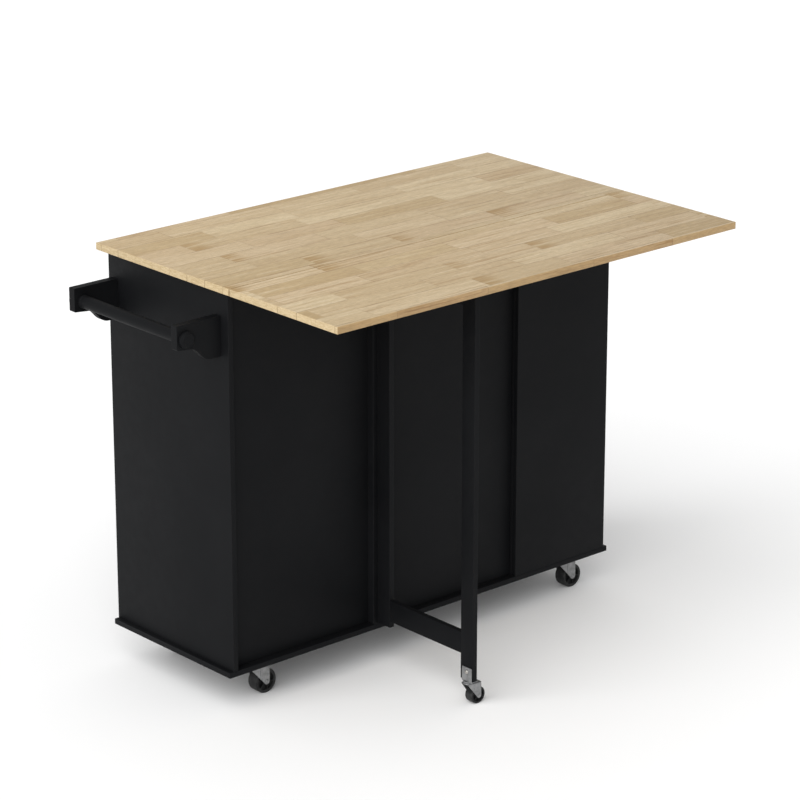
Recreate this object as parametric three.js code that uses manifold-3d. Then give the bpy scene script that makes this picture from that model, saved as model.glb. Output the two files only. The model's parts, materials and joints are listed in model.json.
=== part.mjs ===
// A kitchen island cart: a black cabinet on four swivel casters, with a butcher-block top, a drop leaf that
// a gate leg holds up, a towel rail on one end, two doors and a stack of three drawers.
//
// Millimetres, +Z up. X runs along the top, away from the towel rail, and Y runs from the outer edge of the
// drop leaf to the doors and drawers. The pieces are laid out from the left end and outer edge of the open
// top, and the whole cart is then moved so that the origin is on the floor at the middle of its outline.

import * as THREE from 'three';
import { mergeVertices } from 'three/addons/utils/BufferGeometryUtils.js';
import Module from 'manifold-3d';

const wasm = await Module();
wasm.setup();

// ---------------------------------------------------------------- driving dimensions

const gap = 0.3;                 // between two pieces that are fastened together
const board = 12;                // thickness of a painted board
const front = 15;                // thickness of a door or drawer front
const reveal = 2;                // around an inset door or drawer front

const top = { length: 1100, depth: 766, thickness: 15, height: 928, leafDepth: 328, seam: 2 };
const cabinet = { left: 17, right: 1083, near: 355, far: 748 };
const base = { bottom: 83.5, overhang: 10.6 };
const partitions = { left: 397.6, right: 810.7 };      // the left face of each
const recess = 18;               // of the left and middle back panels
const backPanel = 6;
const rail = { height: 40, thickness: 12 };            // under the top, front and rear
const shelf = { height: 470, setBack: 24 };            // underside above the floor, and behind the fronts

const gate = {
  left: 409.6, inner: 354.5, outer: 57.3, postWidth: 37.5, railHeight: 47.5,
  innerPostBottom: 96.7, outerPostBottom: 55.8, lowerRailBottom: 111, topClearance: 0.5,
};
const batten = { left: 409.9, width: 38 };

const towelRail = {
  reach: 110.4, top: 858, innerHeight: 85.5, outerHeight: 51, thickness: 18, corner: 3, curveStart: 24,
  curveEnd: 80, fall: 3, near: 378.5, far: 717.5, barRadius: 14, barFromEnd: 22.4, barHeight: 827,
  capRadius: 18, capHeight: 10,
};
const capEdge = [[1, 0.75], [0.9, 0.95], [0.7, 1]];               // shares of the radius and of the height

const drawers = { shares: [0.26, 0.36, 0.38], runnerSpace: 12.7, depth: 330, floor: 6, wall: 12 };
const knob = { radius: 14, reach: 17.5, neck: 6, foot: 8, footHeight: 3, inset: 40, height: 0.65 };
const knobHead = [[0.85, 0.6], [1, 0.78], [0.75, 0.95]];         // shares of the radius and of the reach

const hinge = { barrel: 3, plate: 1.4, pin: 1.4, bore: 1.8, length: 60, clearance: 0.3 };
const leafHinges = { at: [185, 915], fixedWidth: 21, movingWidth: 42 };
const gateHinges = { at: [200, 800], width: 20 };

const cabinetCaster = {
  height: base.bottom, wheelRadius: 27, wheelWidth: 27, trail: 33.5, sheet: 2.5, raceHeight: 6,
  raceRadius: 17, earRadius: 7, axle: 3, pin: 4.1,
};
const casterPlate = { length: 64, width: 50, corner: 6 };
const casterInset = { ends: 87, sides: 58 };
const legCaster = {
  height: gate.outerPostBottom, wheelRadius: 18.75, wheelWidth: 21, trail: 18, sheet: 2, raceHeight: 4,
  raceRadius: 12, earRadius: 5.5, axle: 2.2, pin: 2.9,
};
const legBracket = { width: 29, height: 30, past: 6, offset: -2.2 };   // set towards the outer edge
const wheelShares = { hub: 0.34, webEnd: 0.72, rim: 0.78, webDepth: 0.62 };  // of the radius or half width
const wheelEdge = { shoulder: 1.5, hubProud: 0.5 };
const rivetShares = { head: 1.7, cut: 2, pinHead: 1.8 };      // of the axle's or kingpin's radius
const forkClearance = 1;         // between the wheel and each side of its fork
const bite = 0.5;                // by which shapes that make one solid run into each other

// ---------------------------------------------------------------- heights and depths that follow

const underside = top.height - top.thickness;
const ceiling = underside - gap;
const cabinetFloor = base.bottom + board;
const panelFace = cabinet.near + recess;
const panelInside = panelFace + backPanel;
const fixedTopNear = top.leafDepth + top.seam;
const frontTop = underside - rail.height - reveal;
const frontBottom = cabinetFloor + reveal;
const bayLeft = [cabinet.left + board, partitions.left];
const bayMiddle = [partitions.left + board, partitions.right];
const bayRight = [partitions.right + board, cabinet.right - board];
const outline = { x: [cabinet.left - towelRail.reach, top.length], y: [0, top.depth] };

// ---------------------------------------------------------------- finishes

const finish = {
  butcherBlock: new THREE.MeshStandardMaterial({ color: 0xc9b18a, roughness: 0.55, metalness: 0 }),
  blackPaint: new THREE.MeshStandardMaterial({ color: 0x1c1d1f, roughness: 0.5, metalness: 0 }),
  drawerWood: new THREE.MeshStandardMaterial({ color: 0x3a3a3a, roughness: 0.6, metalness: 0 }),
  zinc: new THREE.MeshStandardMaterial({ color: 0xb4b8b8, roughness: 0.35, metalness: 0.9 }),
  nickel: new THREE.MeshStandardMaterial({ color: 0x9c9c98, roughness: 0.3, metalness: 0.9 }),
  wheelRubber: new THREE.MeshStandardMaterial({ color: 0x161616, roughness: 0.6, metalness: 0 }),
};

function mesh(name, geometry, material) {
  const part = new THREE.Mesh(geometry, material.clone());
  part.name = name;
  return part;
}

// ---------------------------------------------------------------- closed shapes, cuts and joins

// The geometry with shared vertices and its faces pointing out.
function closed(geometry) {
  geometry.deleteAttribute('normal');
  geometry.deleteAttribute('uv');
  const shape = mergeVertices(geometry, 1e-4);
  const p = shape.attributes.position;
  const index = shape.index.array;
  const [a, b, c] = [new THREE.Vector3(), new THREE.Vector3(), new THREE.Vector3()];
  const kept = [];
  let volume = 0;
  for (let i = 0; i < index.length; i += 3) {
    const [u, v, w] = [index[i], index[i + 1], index[i + 2]];
    if (u === v || v === w || w === u) continue;
    kept.push(u, v, w);
    a.fromBufferAttribute(p, u);
    b.fromBufferAttribute(p, v);
    c.fromBufferAttribute(p, w);
    volume += a.dot(b.cross(c));
  }
  if (volume < 0) kept.reverse();
  shape.setIndex(kept);
  return shape;
}

function solid(geometry) {
  const shape = closed(geometry);
  return new wasm.Manifold(new wasm.Mesh({
    numProp: 3,
    vertProperties: new Float32Array(shape.attributes.position.array),
    triVerts: new Uint32Array(shape.index.array),
  }));
}

function geometryOf(body) {
  const result = body.getMesh();
  const geometry = new THREE.BufferGeometry();
  geometry.setAttribute('position', new THREE.BufferAttribute(new Float32Array(result.vertProperties), 3));
  geometry.setIndex(Array.from(result.triVerts));
  geometry.computeVertexNormals();
  return geometry;
}

// A box between two values on each axis.
function boxGeometry(x, y, z) {
  const box = new THREE.BoxGeometry(x[1] - x[0], y[1] - y[0], z[1] - z[0]);
  return box.translate((x[0] + x[1]) / 2, (y[0] + y[1]) / 2, (z[0] + z[1]) / 2);
}

function panel(name, material, x, y, z) {
  return mesh(name, boxGeometry(x, y, z), material);
}

// A cylinder on the Z axis between two heights.
function rodGeometry(radius, z, sides = 20) {
  const rod = new THREE.CylinderGeometry(radius, radius, z[1] - z[0], sides);
  return rod.rotateX(Math.PI / 2).translate(0, 0, (z[0] + z[1]) / 2);
}

// An outline drawn in X and Z, made solid between two values of Y.
function platedGeometry(shape, y, curveSegments = 8) {
  const plate = new THREE.ExtrudeGeometry(shape, { depth: y[1] - y[0], bevelEnabled: false, curveSegments });
  return plate.rotateX(Math.PI / 2).translate(0, y[1], 0);
}

function turned(points, sides) {
  const profile = points.map(([r, h]) => new THREE.Vector2(r, h));
  return closed(new THREE.LatheGeometry(profile, sides));
}

// ---------------------------------------------------------------- the top and its drop leaf

function makeTop() {
  const z = [underside, top.height];
  return [
    panel('worktop', finish.butcherBlock, [0, top.length], [fixedTopNear, top.depth], z),
    panel('drop_leaf', finish.butcherBlock, [0, top.length], [0, top.leafDepth], z),
  ];
}

// ---------------------------------------------------------------- the cabinet

// A partition stands the full depth of the cabinet, notched for the rails under the top.
function partition(name, left) {
  const x = [left, left + board];
  const notch = [ceiling - rail.height - gap, ceiling + 1];
  const wide = [left - 1, left + board + 1];
  const frontNotch = boxGeometry(wide, [cabinet.far - rail.thickness - gap, cabinet.far + 1], notch);
  const rearNotch = boxGeometry(wide, [panelInside, panelInside + rail.thickness + 2 * gap], notch);
  const near = left === partitions.right ? cabinet.near + board + gap : cabinet.near;
  const whole = boxGeometry(x, [near, cabinet.far], [cabinetFloor + gap, ceiling]);
  const cut = solid(whole).subtract(solid(frontNotch)).subtract(solid(rearNotch));
  return mesh(name, geometryOf(cut), finish.blackPaint);
}

function makeCarcass() {
  const upright = [cabinetFloor + gap, ceiling];
  const railZ = [ceiling - rail.height, ceiling];
  const railX = [cabinet.left + board + gap, cabinet.right - board - gap];
  const recessed = [panelFace, panelInside];
  const overlaid = cabinet.near + board;
  return [
    panel('base_board', finish.blackPaint, [cabinet.left - base.overhang, cabinet.right + base.overhang],
      [cabinet.near, cabinet.far], [base.bottom, cabinetFloor]),
    panel('end_panel_left', finish.blackPaint, [cabinet.left, cabinet.left + board],
      [cabinet.near, cabinet.far], upright),
    panel('end_panel_right', finish.blackPaint, [cabinet.right - board, cabinet.right],
      [overlaid + gap, cabinet.far], upright),
    partition('partition_left', partitions.left),
    partition('partition_right', partitions.right),
    panel('back_panel_left', finish.blackPaint, [bayLeft[0] + gap, bayLeft[1] - gap], recessed, upright),
    panel('back_panel_middle', finish.blackPaint, [bayMiddle[0] + gap, bayMiddle[1] - gap],
      recessed, upright),
    panel('back_panel_right', finish.blackPaint, [partitions.right, cabinet.right],
      [cabinet.near, overlaid], upright),
    panel('front_top_rail', finish.blackPaint, railX, [cabinet.far - rail.thickness, cabinet.far], railZ),
    panel('rear_top_rail', finish.blackPaint, railX,
      [panelInside + gap, panelInside + gap + rail.thickness], railZ),
    panel('gate_hinge_batten', finish.blackPaint, [batten.left, batten.left + batten.width],
      [cabinet.near, panelFace - gap], upright),
  ];
}

function makeShelf(name, bay, back) {
  return panel(name, finish.blackPaint, [bay[0] + 1, bay[1] - 1],
    [back + 1, cabinet.far - front - shelf.setBack], [shelf.height, shelf.height + board]);
}

// ---------------------------------------------------------------- doors, drawers and knobs

// A turned knob on a front, pointing along +Y.
function makeKnob(name, x, z) {
  const { radius, reach, neck, foot, footHeight } = knob;
  const head = knobHead.map(([r, h]) => [radius * r, reach * h]);
  const turnedKnob = turned([
    [0, gap], [foot, gap], [neck, footHeight], [neck, reach * 0.45], ...head, [0, reach],
  ], 20);
  const part = mesh(name, turnedKnob, finish.nickel);
  part.position.set(x, cabinet.far, z);
  return part;
}

function makeDoor(side, bay, knobX) {
  const x = [bay[0] + reveal, bay[1] - reveal];
  const knobZ = frontBottom + (frontTop - frontBottom) * knob.height;
  return [
    panel(`door_${side}`, finish.blackPaint, x, [cabinet.far - front, cabinet.far], [frontBottom, frontTop]),
    makeKnob(`door_${side}_knob`, knobX, knobZ),
  ];
}

// A tray with four walls and a floor, between its runners.
function drawerBox(name, z) {
  const x = [bayMiddle[0] + drawers.runnerSpace, bayMiddle[1] - drawers.runnerSpace];
  const back = cabinet.far - front - gap;
  const y = [back - drawers.depth, back];
  const hollow = boxGeometry(
    [x[0] + drawers.wall, x[1] - drawers.wall],
    [y[0] + drawers.wall, y[1] - drawers.wall],
    [z[0] + drawers.floor, z[1] + 1],
  );
  return mesh(name, geometryOf(solid(boxGeometry(x, y, z)).subtract(solid(hollow))), finish.drawerWood);
}

function makeDrawers() {
  const parts = [];
  const room = frontTop - frontBottom - reveal * (drawers.shares.length - 1);
  let upper = frontTop;
  drawers.shares.forEach((share, i) => {
    const name = `drawer_${i + 1}`;
    const lower = upper - room * share;
    const x = [bayMiddle[0] + reveal, bayMiddle[1] - reveal];
    parts.push(
      panel(`${name}_front`, finish.blackPaint, x, [cabinet.far - front, cabinet.far], [lower, upper]),
      drawerBox(`${name}_box`, [lower + 20, upper - 35]),
      makeKnob(`${name}_knob`, (x[0] + x[1]) / 2, (lower + upper) / 2),
    );
    upper = lower - reveal;
  });
  return parts;
}

// ---------------------------------------------------------------- butt hinges

// One leaf of a hinge whose barrel stands along Z, with its plate towards +X, on the +Y or -Y side of the
// barrel. The fixed leaf has the two outer knuckles and the pin, and the moving leaf has the middle one.
function hingeLeaf(name, width, side, fixed) {
  const { barrel, plate, pin, bore, length, clearance } = hinge;
  const third = length / 3;
  const outer = [[0, third - clearance], [length - third + clearance, length]];
  const middle = [[third, length - third]];
  const own = fixed ? outer : middle;
  const other = fixed ? middle : outer;
  const y = side > 0 ? [barrel - plate, barrel] : [-barrel, plate - barrel];
  let body = solid(boxGeometry([0, width], y, [0, length]));
  for (const [low, high] of other) {
    body = body.subtract(solid(rodGeometry(barrel + 2 * clearance, [low - clearance, high + clearance])));
  }
  for (const z of own) body = body.add(solid(rodGeometry(barrel, z, 16)));
  if (fixed) body = body.add(solid(rodGeometry(pin, [bite, length - bite], 12)));
  else body = body.subtract(solid(rodGeometry(bore, [-1, length + 1], 12)));
  return mesh(name, geometryOf(body), finish.zinc);
}

// Stands a piece at a point with its own X and Y axes along two given directions.
function stand(part, at, xAxis, yAxis) {
  const zAxis = new THREE.Vector3().crossVectors(xAxis, yAxis);
  part.quaternion.setFromRotationMatrix(new THREE.Matrix4().makeBasis(xAxis, yAxis, zAxis));
  part.position.set(...at);
  return part;
}

const alongX = new THREE.Vector3(1, 0, 0);
const alongY = new THREE.Vector3(0, 1, 0);
const alongZ = new THREE.Vector3(0, 0, 1);

function makeLeafHinges() {
  const seam = top.leafDepth + top.seam / 2;
  const drop = underside - hinge.barrel - hinge.clearance;
  return leafHinges.at.flatMap((x, i) => {
    const at = [x - hinge.length / 2, seam, drop];
    const fixed = hingeLeaf(`leaf_hinge_${i + 1}_fixed`, leafHinges.fixedWidth, 1, true);
    const moving = hingeLeaf(`leaf_hinge_${i + 1}_moving`, leafHinges.movingWidth, -1, false);
    return [
      stand(fixed, at, alongY, alongZ),
      stand(moving, at, alongY.clone().negate(), alongZ.clone().negate()),
    ];
  });
}

function makeGateHinges() {
  const x = gate.left + board + hinge.barrel + hinge.clearance;
  const y = cabinet.near - hinge.barrel - hinge.clearance;
  return gateHinges.at.flatMap((z, i) => {
    const at = [x, y, z - hinge.length / 2];
    const name = i ? 'gate_hinge_upper' : 'gate_hinge_lower';
    const fixed = hingeLeaf(`${name}_fixed`, gateHinges.width, 1, true);
    const moving = hingeLeaf(`${name}_moving`, gateHinges.width, -1, false);
    return [
      stand(fixed, at, alongX, alongY),
      stand(moving, at, alongY.clone().negate(), alongX),
    ];
  });
}

// ---------------------------------------------------------------- the gate leg

function makeGate() {
  const x = [gate.left, gate.left + board];
  const head = underside - gate.topClearance;
  const inner = gate.inner - gate.postWidth;
  const outer = gate.outer + gate.postWidth;
  const between = [outer + gap, inner - gap];
  const lower = gate.lowerRailBottom;
  return [
    panel('gate_inner_post', finish.blackPaint, x, [inner, gate.inner], [gate.innerPostBottom, head]),
    panel('gate_outer_post', finish.blackPaint, x, [gate.outer, outer], [gate.outerPostBottom, head]),
    panel('gate_upper_rail', finish.blackPaint, x, between, [head - gate.railHeight, head]),
    panel('gate_lower_rail', finish.blackPaint, x, between, [lower, lower + gate.railHeight]),
  ];
}

// ---------------------------------------------------------------- the towel rail

// The bracket's outline: deep at the cabinet, then an S-curve below that rises to the shallow outer end.
function bracketShape() {
  const { reach, innerHeight, outerHeight, corner, curveStart, curveEnd, fall } = towelRail;
  const deep = -innerHeight;
  const shallow = -outerHeight - fall;
  const middle = -(curveStart + curveEnd) / 2;
  const shape = new THREE.Shape();
  shape.moveTo(0, 0);
  shape.lineTo(0, deep + corner);
  shape.quadraticCurveTo(0, deep, -corner, deep);
  shape.lineTo(-curveStart, deep);
  shape.bezierCurveTo(middle, deep, middle, shallow, -curveEnd, shallow);
  shape.lineTo(-reach + corner, -outerHeight);
  shape.quadraticCurveTo(-reach, -outerHeight, -reach, -outerHeight + corner);
  shape.lineTo(-reach, 0);
  shape.closePath();
  return shape;
}

function makeTowelRail() {
  const { near, far, thickness, reach, barRadius, barFromEnd, barHeight, capRadius, capHeight } = towelRail;
  const barX = cabinet.left - reach + barFromEnd;
  const bracket = (name, y) => {
    const part = mesh(name, closed(platedGeometry(bracketShape(), [y, y + thickness])), finish.blackPaint);
    part.position.set(cabinet.left - gap, 0, towelRail.top);
    return part;
  };
  const cap = (name, y, direction) => {
    const edge = capEdge.map(([r, h]) => [capRadius * r, capHeight * h]);
    const dome = turned([[0, gap], [capRadius, gap], ...edge, [0, capHeight]], 28);
    const part = mesh(name, dome, finish.blackPaint);
    if (direction < 0) part.rotation.x = Math.PI;
    part.position.set(barX, y, barHeight);
    return part;
  };
  const barLength = far - near - thickness - 2 * gap;
  const bar = mesh('towel_bar', new THREE.CylinderGeometry(barRadius, barRadius, barLength, 32),
    finish.blackPaint);
  bar.position.set(barX, (near + thickness + far) / 2, barHeight);
  return [
    bracket('towel_bracket_near', near),
    bracket('towel_bracket_far', far),
    bar,
    cap('towel_cap_near', near, -1),
    cap('towel_cap_far', far + thickness, 1),
  ];
}

// ---------------------------------------------------------------- casters

// Heights inside a caster, measured down from its mounting face.
function casterLevels(size) {
  const race = -size.sheet - size.raceHeight;
  const crownTop = race - gap;
  const crownBottom = crownTop - size.sheet;
  const axle = size.wheelRadius - size.height;
  return { race, crownTop, crownBottom, axle };
}

// The bearing race and the kingpin under a caster's mounting plate, joined to that plate.
function withKingpin(plate, size) {
  const { race, crownBottom } = casterLevels(size);
  const head = [crownBottom - gap - size.sheet, crownBottom - gap];
  return plate
    .add(solid(rodGeometry(size.raceRadius, [race, -size.sheet / 2])))
    .add(solid(rodGeometry(size.pin, [head[0], race + bite], 16)))
    .add(solid(rodGeometry(size.pin * rivetShares.pinHead, head, 16)));
}

// The side of the fork: its rear edge falls straight to the ear round the axle, its front edge slants back.
function forkSide(size) {
  const { crownTop, crownBottom, axle } = casterLevels(size);
  const { trail, earRadius, raceRadius } = size;
  const frontX = -raceRadius * 0.8;
  const slant = Math.atan2(crownBottom - axle, trail - frontX);
  const shape = new THREE.Shape();
  shape.moveTo(frontX, crownTop);
  shape.lineTo(frontX, crownBottom);
  shape.absarc(trail, axle, earRadius, Math.PI * 1.5 - slant, Math.PI * 2, false);
  shape.lineTo(trail + earRadius, crownTop);
  shape.closePath();
  return shape;
}

// The fork, with the axle riveted through its two sides.
function makeFork(name, size) {
  const { crownTop, crownBottom, axle } = casterLevels(size);
  const { sheet, trail, raceRadius, earRadius } = size;
  const inside = size.wheelWidth / 2 + forkClearance;
  const outside = inside + sheet;
  const hole = size.pin + gap;
  let body = solid(rodGeometry(raceRadius, [crownBottom, crownTop]))
    .add(solid(boxGeometry([0, trail + earRadius], [-outside, outside], [crownBottom, crownTop])))
    .add(solid(platedGeometry(forkSide(size), [inside, outside])))
    .add(solid(platedGeometry(forkSide(size), [-outside, -inside])))
    .subtract(solid(rodGeometry(hole, [crownBottom - 1, crownTop + 1], 16)));
  const rivet = (radius, half) => {
    const rod = new THREE.CylinderGeometry(radius, radius, half * 2, 16);
    return solid(rod.translate(trail, 0, axle));
  };
  const heads = rivet(size.axle * rivetShares.head, outside + 2 * bite);
  const between = rivet(size.axle * rivetShares.cut, outside - bite);
  body = body.add(rivet(size.axle, outside + bite)).add(heads.subtract(between));
  return mesh(name, geometryOf(body), finish.zinc);
}

// A wheel with a flat tread, a hub and a thinner web on each side, turning about Y.
function makeWheel(name, size) {
  const { wheelRadius: r, wheelWidth, axle } = size;
  const { shoulder, hubProud } = wheelEdge;
  const half = wheelWidth / 2;
  const [hub, webEnd, rim] = [wheelShares.hub, wheelShares.webEnd, wheelShares.rim].map((share) => r * share);
  const web = half * wheelShares.webDepth;
  const profile = [
    [axle + gap, -half - hubProud], [hub, -half - hubProud], [hub, -web], [webEnd, -web], [rim, -half],
    [r - shoulder, -half], [r, shoulder - half], [r, half - shoulder], [r - shoulder, half],
    [rim, half], [webEnd, web], [hub, web], [hub, half + hubProud], [axle + gap, half + hubProud],
  ];
  const part = mesh(name, turned([...profile, profile[0]], 24), finish.wheelRubber);
  part.position.set(size.trail, 0, casterLevels(size).axle);
  return part;
}

function mountingPlate({ length, width, corner }, thickness) {
  const [x, y] = [length / 2, width / 2];
  const shape = new THREE.Shape();
  shape.absarc(x - corner, y - corner, corner, 0, Math.PI / 2, false);
  shape.absarc(corner - x, y - corner, corner, Math.PI / 2, Math.PI, false);
  shape.absarc(corner - x, corner - y, corner, Math.PI, Math.PI * 1.5, false);
  shape.absarc(x - corner, corner - y, corner, Math.PI * 1.5, Math.PI * 2, false);
  const plate = new THREE.ExtrudeGeometry(shape, { depth: thickness, bevelEnabled: false, curveSegments: 4 });
  return plate.translate(0, 0, -thickness);
}

// A caster group, with its mounting face at the group's origin.
function caster(name, size, plate, at) {
  const group = new THREE.Group();
  const mounted = mesh(`${name}_plate`, geometryOf(withKingpin(plate, size)), finish.zinc);
  group.add(mounted, makeFork(`${name}_fork`, size), makeWheel(`${name}_wheel`, size));
  group.position.set(...at);
  return group;
}

function makeCabinetCasters() {
  const columns = {
    left: cabinet.left + casterInset.ends,
    right: cabinet.right - casterInset.ends,
  };
  const rows = { near: cabinet.near + casterInset.sides, far: cabinet.far - casterInset.sides };
  return Object.entries(rows).flatMap(([row, y]) => Object.entries(columns).map(([column, x]) => {
    const plate = solid(mountingPlate(casterPlate, cabinetCaster.sheet)).translate(0, 0, -gap);
    return caster(`caster_${row}_${column}`, cabinetCaster, plate, [x, y, base.bottom]);
  }));
}

// The gate leg's caster hangs on an angle plate: one flange on the post's left face, one under its end.
function makeLegCaster() {
  const { width, height, past, offset } = legBracket;
  const { sheet } = legCaster;
  const face = -board / 2 - gap;
  const y = [offset - width / 2, offset + width / 2];
  const upright = boxGeometry([face - sheet, face], y, [-sheet - gap, height]);
  const under = boxGeometry([face - sheet, board / 2 + past], y, [-sheet - gap, -gap]);
  const plate = solid(upright).add(solid(under));
  const at = [gate.left + board / 2, gate.outer + gate.postWidth / 2, gate.outerPostBottom];
  return caster('leg_caster', legCaster, plate, at);
}

// ---------------------------------------------------------------- the whole cart

const cart = new THREE.Group();
cart.add(
  ...makeTop(),
  ...makeCarcass(),
  makeShelf('shelf_left', bayLeft, panelInside),
  makeShelf('shelf_right', bayRight, cabinet.near + board),
  ...makeDoor('left', bayLeft, bayLeft[1] - knob.inset),
  ...makeDoor('right', bayRight, bayRight[0] + knob.inset),
  ...makeDrawers(),
  ...makeLeafHinges(),
  ...makeGate(),
  ...makeGateHinges(),
  ...makeTowelRail(),
  ...makeCabinetCasters(),
  makeLegCaster(),
);
cart.position.set(-(outline.x[0] + outline.x[1]) / 2, -(outline.y[0] + outline.y[1]) / 2, 0);

const model = new THREE.Group();
model.add(cart);
model.updateMatrixWorld(true);

export default model;
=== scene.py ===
"""A kitchen island cart with a butcher-block top, a drop leaf on a gate leg and a black cabinet on casters.

Metres, +Z up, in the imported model's own frame. Painted boards, the top, the drawer boxes and the hinges are
the model's own nodes with softened edges; the towel rail, casters and knobs are finer pieces that stand for
theirs, and small fittings ride with them.
"""

import json
import math

import bmesh
import bpy
from mathutils import Matrix, Vector

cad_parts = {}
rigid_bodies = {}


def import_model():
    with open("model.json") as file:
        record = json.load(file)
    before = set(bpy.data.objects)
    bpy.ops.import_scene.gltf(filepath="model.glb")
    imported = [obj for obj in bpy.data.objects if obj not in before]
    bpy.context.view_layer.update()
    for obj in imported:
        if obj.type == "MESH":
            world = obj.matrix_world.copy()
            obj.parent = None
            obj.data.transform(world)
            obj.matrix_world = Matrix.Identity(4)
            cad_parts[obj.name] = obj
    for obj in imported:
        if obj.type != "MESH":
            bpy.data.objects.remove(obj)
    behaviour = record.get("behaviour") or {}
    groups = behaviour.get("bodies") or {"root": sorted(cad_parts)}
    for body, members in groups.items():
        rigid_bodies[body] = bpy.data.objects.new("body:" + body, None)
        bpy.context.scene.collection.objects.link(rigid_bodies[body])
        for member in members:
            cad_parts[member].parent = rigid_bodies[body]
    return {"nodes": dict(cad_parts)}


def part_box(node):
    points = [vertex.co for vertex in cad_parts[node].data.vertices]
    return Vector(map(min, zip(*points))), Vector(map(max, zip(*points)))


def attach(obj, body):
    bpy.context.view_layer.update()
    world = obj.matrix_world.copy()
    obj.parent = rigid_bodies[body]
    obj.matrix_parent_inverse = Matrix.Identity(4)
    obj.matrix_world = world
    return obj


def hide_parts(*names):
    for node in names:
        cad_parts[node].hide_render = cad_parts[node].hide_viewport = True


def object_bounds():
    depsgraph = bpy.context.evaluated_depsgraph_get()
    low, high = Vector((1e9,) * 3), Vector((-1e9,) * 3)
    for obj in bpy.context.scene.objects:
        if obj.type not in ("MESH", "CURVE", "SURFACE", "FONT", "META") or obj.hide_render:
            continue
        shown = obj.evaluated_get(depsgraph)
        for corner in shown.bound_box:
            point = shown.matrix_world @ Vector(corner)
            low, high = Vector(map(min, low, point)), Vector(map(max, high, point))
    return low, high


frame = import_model()
cad_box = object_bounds()
nodes = frame["nodes"]

MM = 0.001
X, Y, Z = Vector((1, 0, 0)), Vector((0, 1, 0)), Vector((0, 0, 1))
SHARP_EDGE = 38  # degrees between two faces, above which their edge is eased, or kept sharp in the shading

# ---------------------------------------------------------------- material graphs


class Graph:
    """One material's nodes: a Principled shader, and short calls that add and join the nodes before it."""

    def __init__(self, name, **constants):
        self.material = bpy.data.materials.new(name)
        self.material.use_nodes = True
        self.tree = self.material.node_tree
        self.tree.nodes.clear()
        self.shader = self.add("ShaderNodeBsdfPrincipled")
        output = self.add("ShaderNodeOutputMaterial")
        self.tree.links.new(self.shader.outputs["BSDF"], output.inputs["Surface"])
        for socket, value in constants.items():
            self.shader.inputs[socket.replace("_", " ")].default_value = value

    def add(self, kind, inputs=(), **settings):
        """A new node, with its settings, and with values or other nodes' outputs in its inputs."""
        node = self.tree.nodes.new(kind)
        for key, value in settings.items():
            setattr(node, key, value)
        for socket, value in dict(inputs).items():
            self.join(node.inputs[socket], value)
        return node

    def join(self, socket, value):
        if isinstance(value, bpy.types.NodeSocket):
            self.tree.links.new(value, socket)
        else:
            socket.default_value = value

    def shade(self, **sockets):
        for socket, value in sockets.items():
            self.join(self.shader.inputs[socket.replace("_", " ")], value)
        return self.material

    def place(self):
        return self.add("ShaderNodeTexCoord").outputs["Object"]

    def normal(self):
        return self.add("ShaderNodeNewGeometry").outputs["Normal"]

    def split(self, vector):
        return self.add("ShaderNodeSeparateXYZ", {0: vector}).outputs

    def pack(self, x, y, z):
        return self.add("ShaderNodeCombineXYZ", {0: x, 1: y, 2: z}).outputs[0]

    def calc(self, operation, *values):
        return self.add("ShaderNodeMath", dict(enumerate(values)), operation=operation).outputs[0]

    def reach(self):
        """The distance from the piece's own Z axis, and the height along it."""
        x, y, z = self.split(self.place())
        squares = self.calc("ADD", self.calc("MULTIPLY", x, x), self.calc("MULTIPLY", y, y))
        return self.calc("SQRT", squares), z

    def stretch(self, vector, scale):
        return self.add("ShaderNodeVectorMath", {0: vector, 1: scale}, operation="MULTIPLY").outputs[0]

    def noise(self, vector, scale=1.0, detail=2.0, roughness=0.5, distortion=0.0):
        inputs = {"Vector": vector, "Scale": scale, "Detail": detail, "Roughness": roughness,
                  "Distortion": distortion}
        return self.add("ShaderNodeTexNoise", inputs).outputs["Fac"]

    def chance(self, vector):
        return self.add("ShaderNodeTexWhiteNoise", {"Vector": vector}, noise_dimensions="3D")

    def cells(self, vector, scale):
        return self.add("ShaderNodeTexVoronoi", {"Vector": vector, "Scale": scale})

    def fit(self, value, low, high, to_low=0.0, to_high=1.0):
        """A smooth step from one value at low to another at high."""
        inputs = {"Value": value, "From Min": low, "From Max": high, "To Min": to_low, "To Max": to_high}
        return self.add("ShaderNodeMapRange", inputs, interpolation_type="SMOOTHSTEP").outputs[0]

    def blend(self, factor, a, b, mode="MIX"):
        node = self.add("ShaderNodeMix", data_type="RGBA", blend_type=mode)
        self.join(node.inputs["Factor"], factor)
        for socket, value in zip([s for s in node.inputs if s.type == "RGBA"], (a, b)):
            self.join(socket, value)
        return next(s for s in node.outputs if s.type == "RGBA")

    def bump(self, height, strength, distance, normal=None):
        inputs = {"Height": height, "Strength": strength, "Distance": distance}
        if normal is not None:
            inputs["Normal"] = normal
        return self.add("ShaderNodeBump", inputs).outputs[0]

    def edges(self, radius):
        """1 along outer edges, and 0 on flat faces: the mask for rubbed wear and a painted edge highlight."""
        rounded = self.add("ShaderNodeBevel", {"Radius": radius}, samples=4).outputs[0]
        match = self.add("ShaderNodeVectorMath", {0: rounded, 1: self.normal()}, operation="DOT_PRODUCT")
        return self.fit(match.outputs["Value"], 0.99, 0.86)


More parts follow.
